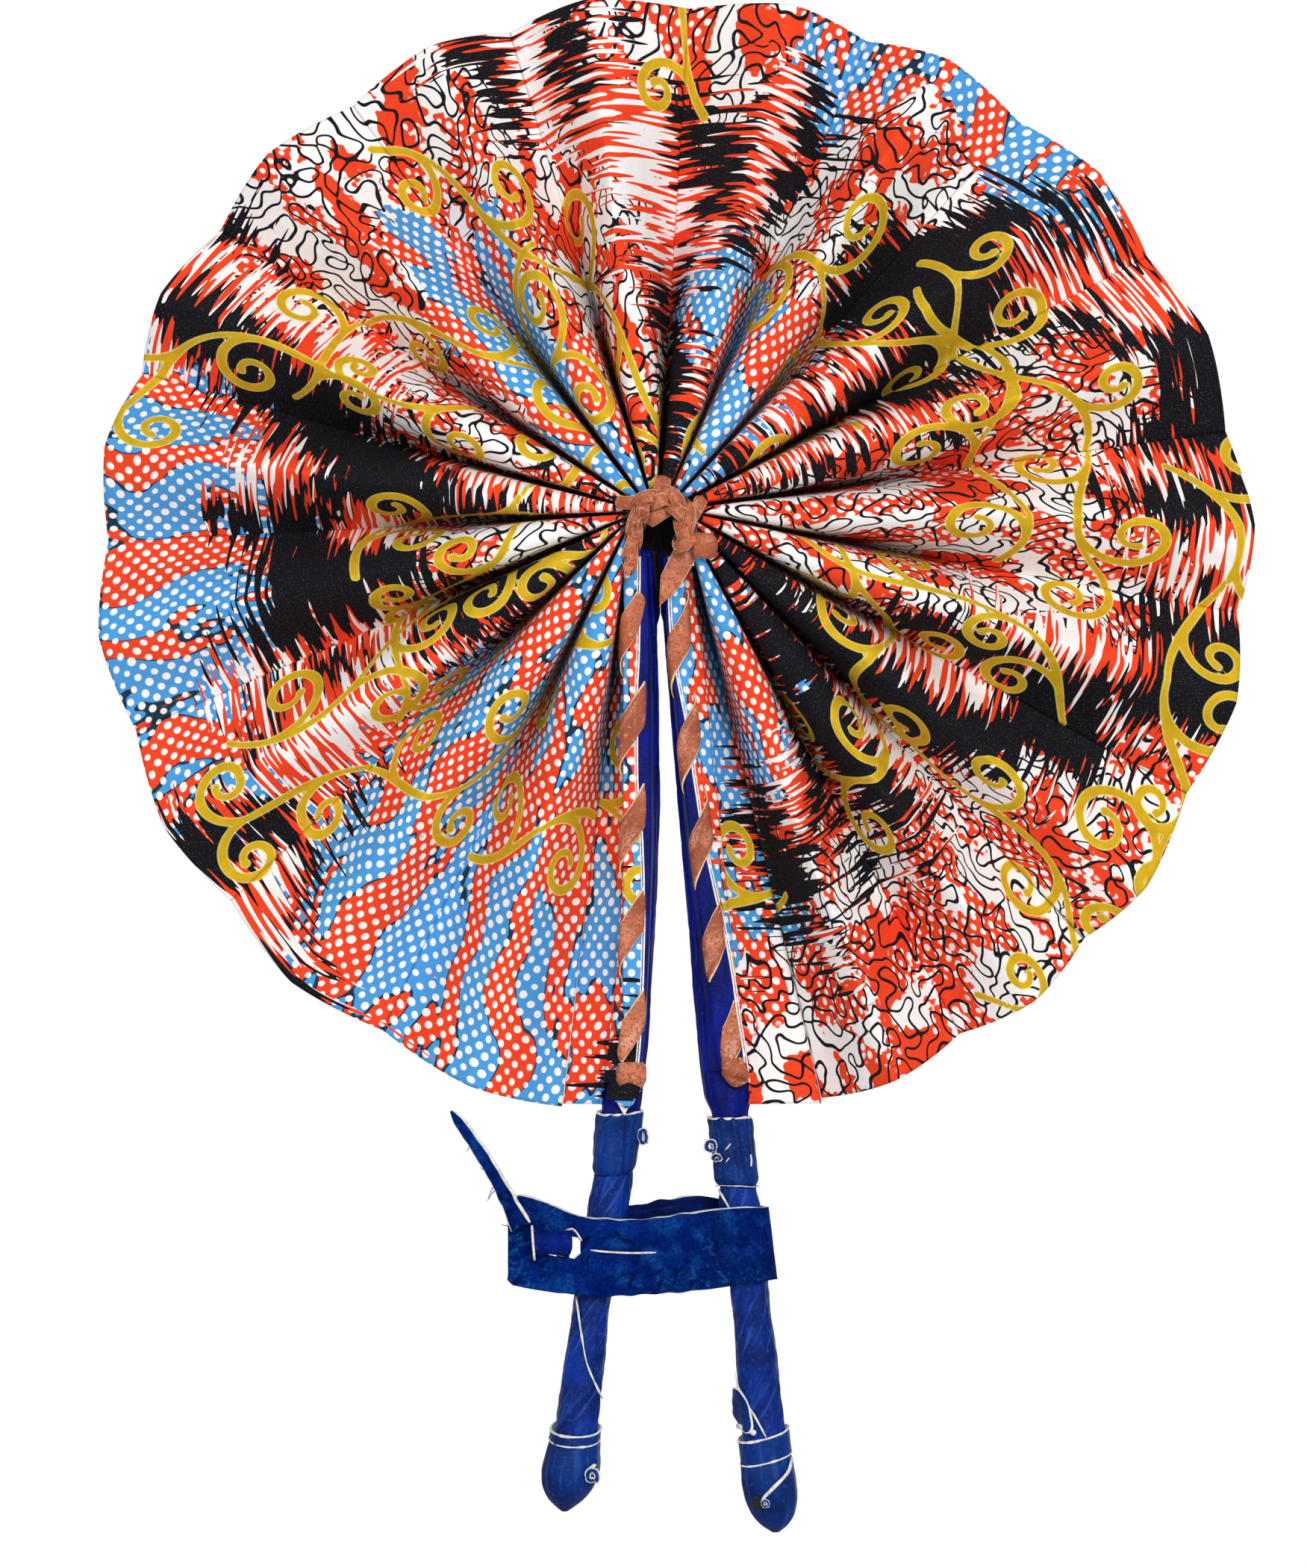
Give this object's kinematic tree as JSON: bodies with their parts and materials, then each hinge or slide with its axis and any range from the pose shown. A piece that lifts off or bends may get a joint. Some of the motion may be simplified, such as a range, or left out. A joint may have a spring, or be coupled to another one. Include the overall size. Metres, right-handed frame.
{
  "type": "folding hand fan",
  "caption": "Folding hand fan of pleated printed cotton that opens right round on two leather-covered handles, with laced edges, a braided hub thong and a suede strap.",
  "frame": {"origin": "midway in height along the two handles' grips, in the sticks' middle plane, under the hub", "axes": "+Z from the handles up to the hub, the printed front faces -Y, +X to the right as seen from the front"},
  "size_m": [0.2774, 0.0288, 0.3682],
  "materials": {
    "cloth": "printed plain-weave cotton",
    "blue_leather": "smooth creased blue leather",
    "suede": "mottled blue suede",
    "brown_leather": "speckled reddish brown lace leather",
    "wood": "plain wood, covered all over"
  },
  "bodies": {
    "left_stick": {"left_stick": "wood", "left_upper_leather": "blue_leather", "left_grip_leather": "blue_leather", "left_collar": "blue_leather", "left_cap": "blue_leather", "left_cap_band": "blue_leather", "left_collar_knot": "blue_leather", "left_cap_knot": "blue_leather", "left_hem": "cloth", "left_edge_pleat": "cloth", "left_lace": "brown_leather", "left_lace_band": "brown_leather"},
    "hub": {"hub_braid": "brown_leather", "hub_top_loop": "brown_leather", "hub_side_knot": "brown_leather", "hub_drawstring": "brown_leather"},
    "right_stick": {"right_stick": "wood", "right_upper_leather": "blue_leather", "right_grip_leather": "blue_leather", "right_collar": "blue_leather", "right_cap": "blue_leather", "right_cap_band": "blue_leather", "right_collar_knot": "blue_leather", "right_cap_knot": "blue_leather", "right_hem": "cloth", "right_edge_pleat": "cloth", "right_lace": "brown_leather", "right_lace_band": "brown_leather", "right_bow": "blue_leather"},
    "strap": {"strap_band": "suede", "strap_toggle": "blue_leather"},
    "strap_tail": {"strap_tail": "blue_leather"},
    "pleat_01": {"pleat_01": "cloth"},
    "pleat_02": {"pleat_02": "cloth"},
    "pleat_03": {"pleat_03": "cloth"},
    "pleat_04": {"pleat_04": "cloth"},
    "pleat_05": {"pleat_05": "cloth"},
    "pleat_06": {"pleat_06": "cloth"},
    "pleat_07": {"pleat_07": "cloth"},
    "pleat_08": {"pleat_08": "cloth"},
    "pleat_09": {"pleat_09": "cloth"},
    "pleat_10": {"pleat_10": "cloth"},
    "pleat_11": {"pleat_11": "cloth"},
    "pleat_12": {"pleat_12": "cloth"},
    "pleat_13": {"pleat_13": "cloth"},
    "pleat_14": {"pleat_14": "cloth"},
    "pleat_15": {"pleat_15": "cloth"},
    "pleat_16": {"pleat_16": "cloth"},
    "pleat_17": {"pleat_17": "cloth"},
    "pleat_18": {"pleat_18": "cloth"}
  },
  "joints": [
    {"name": "fan_fold", "type": "hinge", "parent": "left_stick", "child": "hub", "pos_m": [-0.009, 0, 0.18], "axis": [0, -1, 0], "range_deg": [0, 175], "deforming": ["hub_braid", "hub_top_loop", "hub_side_knot", "hub_drawstring", "left_edge_pleat", "right_edge_pleat", "pleat_01", "pleat_02", "pleat_03", "pleat_04", "pleat_05", "pleat_06", "pleat_07", "pleat_08", "pleat_09", "pleat_10", "pleat_11", "pleat_12", "pleat_13", "pleat_14", "pleat_15", "pleat_16", "pleat_17", "pleat_18"]},
    {"name": "right_stick_fold", "type": "hinge", "parent": "hub", "child": "right_stick", "pos_m": [0.0091, 0, 0.18], "axis": [0, -1, 0], "range_deg": [0, 175]},
    {"name": "strap_turn", "type": "hinge", "parent": "right_stick", "child": "strap", "pos_m": [0.02151, 0, 0.01225], "axis": [-0.1051, 0, 0.9945], "range_deg": [0, 180]},
    {"name": "strap_tail_swing", "type": "hinge", "parent": "strap", "child": "strap_tail", "pos_m": [-0.0319, -0.00665, 0.0174], "axis": [0, -1, 0], "range_deg": [-15, 60]},
    {"name": "pleat_01_fold", "type": "hinge", "parent": "hub", "child": "pleat_01", "pos_m": [-0.00763, 0, 0.18275], "axis": [0, -1, 0], "range_deg": [-160.73, 0]},
    {"name": "pleat_02_fold", "type": "hinge", "parent": "hub", "child": "pleat_02", "pos_m": [-0.00759, 0, 0.18396], "axis": [0, -1, 0], "range_deg": [-140.4, 0]},
    {"name": "pleat_03_fold", "type": "hinge", "parent": "hub", "child": "pleat_03", "pos_m": [-0.00738, 0, 0.18501], "axis": [0, -1, 0], "range_deg": [-120.52, 0]},
    {"name": "pleat_04_fold", "type": "hinge", "parent": "hub", "child": "pleat_04", "pos_m": [-0.00695, 0, 0.186], "axis": [0, -1, 0], "range_deg": [-100.1, 0]},
    {"name": "pleat_05_fold", "type": "hinge", "parent": "hub", "child": "pleat_05", "pos_m": [-0.0063, 0, 0.18692], "axis": [0, -1, 0], "range_deg": [-80.28, 0]},
    {"name": "pleat_06_fold", "type": "hinge", "parent": "hub", "child": "pleat_06", "pos_m": [-0.00559, 0, 0.18776], "axis": [0, -1, 0], "range_deg": [-63.26, 0]},
    {"name": "pleat_07_fold", "type": "hinge", "parent": "hub", "child": "pleat_07", "pos_m": [-0.00481, 0, 0.18852], "axis": [0, -1, 0], "range_deg": [-44.31, 0]},
    {"name": "pleat_08_fold", "type": "hinge", "parent": "hub", "child": "pleat_08", "pos_m": [-0.00498, 0, 0.18905], "axis": [0, -1, 0], "range_deg": [-23.46, 0]},
    {"name": "pleat_09_fold", "type": "hinge", "parent": "hub", "child": "pleat_09", "pos_m": [-0.01852, 0, 0.1916], "axis": [0, -1, 0], "range_deg": [-5.35, 0]},
    {"name": "pleat_10_fold", "type": "hinge", "parent": "hub", "child": "pleat_10", "pos_m": [0.00983, 0, 0.18783], "axis": [0, -1, 0], "range_deg": [0, 16.93]},
    {"name": "pleat_11_fold", "type": "hinge", "parent": "hub", "child": "pleat_11", "pos_m": [0.00829, 0, 0.1872], "axis": [0, -1, 0], "range_deg": [0, 34.63]},
    {"name": "pleat_12_fold", "type": "hinge", "parent": "hub", "child": "pleat_12", "pos_m": [0.00864, 0, 0.18639], "axis": [0, -1, 0], "range_deg": [0, 54.12]},
    {"name": "pleat_13_fold", "type": "hinge", "parent": "hub", "child": "pleat_13", "pos_m": [0.00915, 0, 0.18541], "axis": [0, -1, 0], "range_deg": [0, 73.84]},
    {"name": "pleat_14_fold", "type": "hinge", "parent": "hub", "child": "pleat_14", "pos_m": [0.00941, 0, 0.18446], "axis": [0, -1, 0], "range_deg": [0, 93.21]},
    {"name": "pleat_15_fold", "type": "hinge", "parent": "hub", "child": "pleat_15", "pos_m": [0.0094, 0, 0.1837], "axis": [0, -1, 0], "range_deg": [0, 110.58]},
    {"name": "pleat_16_fold", "type": "hinge", "parent": "hub", "child": "pleat_16", "pos_m": [0.00922, 0, 0.18308], "axis": [0, -1, 0], "range_deg": [0, 130.11]},
    {"name": "pleat_17_fold", "type": "hinge", "parent": "hub", "child": "pleat_17", "pos_m": [0.00901, 0, 0.1826], "axis": [0, -1, 0], "range_deg": [0, 145.36]},
    {"name": "pleat_18_fold", "type": "hinge", "parent": "hub", "child": "pleat_18", "pos_m": [0.00878, 0, 0.18211], "axis": [0, -1, 0], "range_deg": [0, 160.53]}
  ],
  "couplings": [
    {"joint": "right_stick_fold", "follows": "fan_fold", "ratio": 1},
    {"joint": "strap_turn", "follows": "fan_fold", "ratio": 1.0286},
    {"joint": "pleat_01_fold", "follows": "fan_fold", "ratio": -0.91844},
    {"joint": "pleat_02_fold", "follows": "fan_fold", "ratio": -0.80226},
    {"joint": "pleat_03_fold", "follows": "fan_fold", "ratio": -0.68867},
    {"joint": "pleat_04_fold", "follows": "fan_fold", "ratio": -0.57199},
    {"joint": "pleat_05_fold", "follows": "fan_fold", "ratio": -0.45876},
    {"joint": "pleat_06_fold", "follows": "fan_fold", "ratio": -0.36146},
    {"joint": "pleat_07_fold", "follows": "fan_fold", "ratio": -0.25318},
    {"joint": "pleat_08_fold", "follows": "fan_fold", "ratio": -0.13407},
    {"joint": "pleat_09_fold", "follows": "fan_fold", "ratio": -0.030589},
    {"joint": "pleat_10_fold", "follows": "fan_fold", "ratio": 0.096709},
    {"joint": "pleat_11_fold", "follows": "fan_fold", "ratio": 0.19791},
    {"joint": "pleat_12_fold", "follows": "fan_fold", "ratio": 0.30926},
    {"joint": "pleat_13_fold", "follows": "fan_fold", "ratio": 0.42192},
    {"joint": "pleat_14_fold", "follows": "fan_fold", "ratio": 0.53264},
    {"joint": "pleat_15_fold", "follows": "fan_fold", "ratio": 0.63187},
    {"joint": "pleat_16_fold", "follows": "fan_fold", "ratio": 0.74349},
    {"joint": "pleat_17_fold", "follows": "fan_fold", "ratio": 0.83061},
    {"joint": "pleat_18_fold", "follows": "fan_fold", "ratio": 0.91732}
  ]
}
